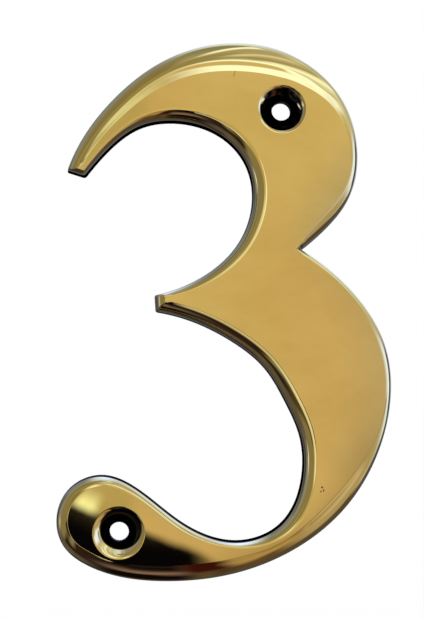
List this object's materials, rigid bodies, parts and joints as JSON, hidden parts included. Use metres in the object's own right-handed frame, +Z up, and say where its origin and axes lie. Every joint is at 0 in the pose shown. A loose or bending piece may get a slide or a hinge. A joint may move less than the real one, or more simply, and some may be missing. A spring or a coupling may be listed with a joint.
{
  "type": "house number",
  "caption": "Flat-backed cast metal house numeral in the form of a figure 3, with soft rounded edges and countersunk screw holes for fixing to a wall or door.",
  "frame": {"origin": "middle of the numeral's height and width, on its flat back face", "axes": "+Z up the numeral, +X to the right as it is read, front face towards -Y, back face on y = 0"},
  "size_m": [0.0631, 0.005, 0.1016],
  "materials": {
    "polished_metal": "polished brass-coloured metal"
  },
  "bodies": {
    "root": {"numeral": "polished_metal"}
  },
  "joints": []
}
